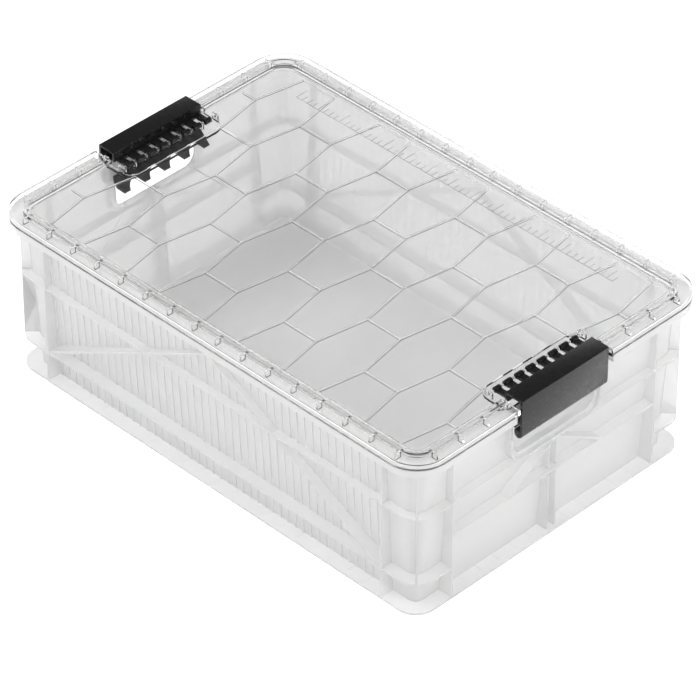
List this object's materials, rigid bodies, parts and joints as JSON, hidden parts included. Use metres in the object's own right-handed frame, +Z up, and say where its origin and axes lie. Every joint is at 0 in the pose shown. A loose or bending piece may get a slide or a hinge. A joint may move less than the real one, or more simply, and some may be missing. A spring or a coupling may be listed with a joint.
{
  "type": "storage crate",
  "caption": "Rectangular open-topped crate with ribbed drafted walls, a lift-off lid with a hexagonal rib lattice, two hinged end latches and padded hand holes.",
  "frame": {"origin": "middle of the crate's base, on the surface it stands on", "axes": "+X along the length towards the right latch, +Y across the width, +Z up"},
  "size_m": [0.4864, 0.3346, 0.1647],
  "materials": {
    "crate_plastic": "milky, translucent",
    "lid_plastic": "clear, glossy",
    "latch_plastic": "satin black",
    "grip_plastic": "satin black"
  },
  "bodies": {
    "crate": {"crate_body": "crate_plastic", "right_finger_grip": "grip_plastic", "left_finger_grip": "grip_plastic"},
    "lid": {"lid": "lid_plastic"},
    "right_latch": {"right_latch": "latch_plastic"},
    "left_latch": {"left_latch": "latch_plastic"}
  },
  "joints": [
    {"name": "lid_lift", "type": "slide", "parent": "crate", "child": "lid", "axis": [0, 0, 1], "range_m": [0, 0.05]},
    {"name": "right_latch_hinge", "type": "hinge", "parent": "lid", "child": "right_latch", "pos_m": [0.2099, 0, 0.1574], "axis": [0, -1, 0], "range_deg": [0, 110]},
    {"name": "left_latch_hinge", "type": "hinge", "parent": "lid", "child": "left_latch", "pos_m": [-0.2099, 0, 0.1574], "axis": [0, 1, 0], "range_deg": [0, 110]}
  ]
}
